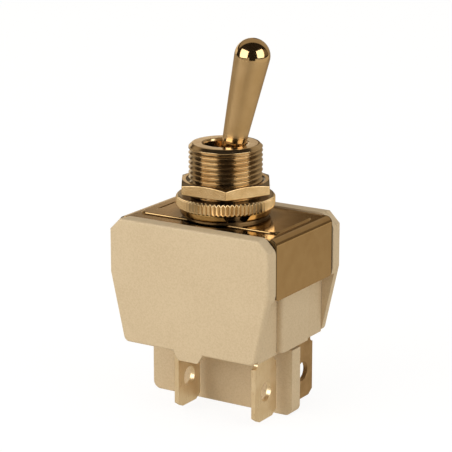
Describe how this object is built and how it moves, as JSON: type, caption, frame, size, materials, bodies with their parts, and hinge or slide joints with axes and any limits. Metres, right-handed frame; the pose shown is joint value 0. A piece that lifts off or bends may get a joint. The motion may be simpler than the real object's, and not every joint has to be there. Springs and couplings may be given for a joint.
{
  "type": "toggle switch",
  "caption": "Panel toggle switch with a polished bat lever, threaded bushing with nuts, metal saddle, and a moulded case with push-on blades.",
  "frame": {"origin": "on the bushing axis at the foot of the barrier between the terminals", "axes": "+Z along the bushing towards the lever, +X along the case and towards the resting lever's tip, +Y from the front pole to the rear pole"},
  "size_m": [0.0296, 0.0228, 0.0606],
  "materials": {
    "case_moulding": "tan moulded phenolic, satin",
    "liner_fibre": "pressed fibre sheet, matte",
    "saddle_strip": "bent brass strip, smooth",
    "bushing_brass": "turned brass, threaded",
    "nut_brass": "turned brass, knurled or chamfered",
    "ring_brass": "stamped brass, smooth",
    "washer_steel": "stamped spring steel",
    "lever_polished": "turned brass, polished",
    "inner_steel": "drawn steel wire and rod",
    "carrier_nylon": "moulded nylon, matte",
    "plunger_acetal": "moulded acetal, smooth",
    "rocker_brass": "stamped brass strip",
    "contact_silver": "silver alloy contact button",
    "blade_brass": "stamped brass strip"
  },
  "bodies": {
    "switch_body": {"case": "case_moulding", "saddle": "saddle_strip", "liner": "liner_fibre", "bushing": "bushing_brass", "hex_nut": "nut_brass", "knurled_nut": "nut_brass", "key_ring": "ring_brass", "tooth_washer": "washer_steel", "lever_pin": "inner_steel", "on_terminal_front": "blade_brass", "on_terminal_rear": "blade_brass", "common_terminal_front": "blade_brass", "common_terminal_rear": "blade_brass", "fixed_contact_front": "contact_silver", "fixed_contact_rear": "contact_silver"},
    "lever_body": {"lever": "lever_polished", "plunger_carrier": "carrier_nylon", "plunger_spring_front": "inner_steel", "plunger_spring_rear": "inner_steel"},
    "rocker_body_front": {"contact_rocker_front": "rocker_brass", "moving_contact_front": "contact_silver"},
    "plunger_body_front": {"plunger_front": "plunger_acetal"},
    "rocker_body_rear": {"contact_rocker_rear": "rocker_brass", "moving_contact_rear": "contact_silver"},
    "plunger_body_rear": {"plunger_rear": "plunger_acetal"}
  },
  "joints": [
    {"name": "lever_tilt", "type": "hinge", "parent": "switch_body", "child": "lever_body", "pos_m": [0, 0, 0.03695], "axis": [0, -1, 0], "range_deg": [0, 26.6]},
    {"name": "rocker_front_tilt", "type": "hinge", "parent": "switch_body", "child": "rocker_body_front", "pos_m": [0, -0.0043, 0.02005], "axis": [0, 1, 0], "range_deg": [0, 10]},
    {"name": "plunger_front_slide", "type": "slide", "parent": "lever_body", "child": "plunger_body_front", "axis": [-0.23, 0, -0.9732], "range_m": [-0.0012, 0], "stiffness_N_per_m": 800, "springref_m": 0.002, "deforming": ["plunger_spring_front"]},
    {"name": "rocker_rear_tilt", "type": "hinge", "parent": "switch_body", "child": "rocker_body_rear", "pos_m": [0, 0.0043, 0.02005], "axis": [0, 1, 0], "range_deg": [0, 10]},
    {"name": "plunger_rear_slide", "type": "slide", "parent": "lever_body", "child": "plunger_body_rear", "axis": [-0.23, 0, -0.9732], "range_m": [-0.0012, 0], "stiffness_N_per_m": 800, "springref_m": 0.002, "deforming": ["plunger_spring_rear"]}
  ],
  "couplings": [
    {"joint": "rocker_front_tilt", "follows": "lever_tilt", "ratio": 0.3759},
    {"joint": "rocker_rear_tilt", "follows": "lever_tilt", "ratio": 0.3759}
  ]
}
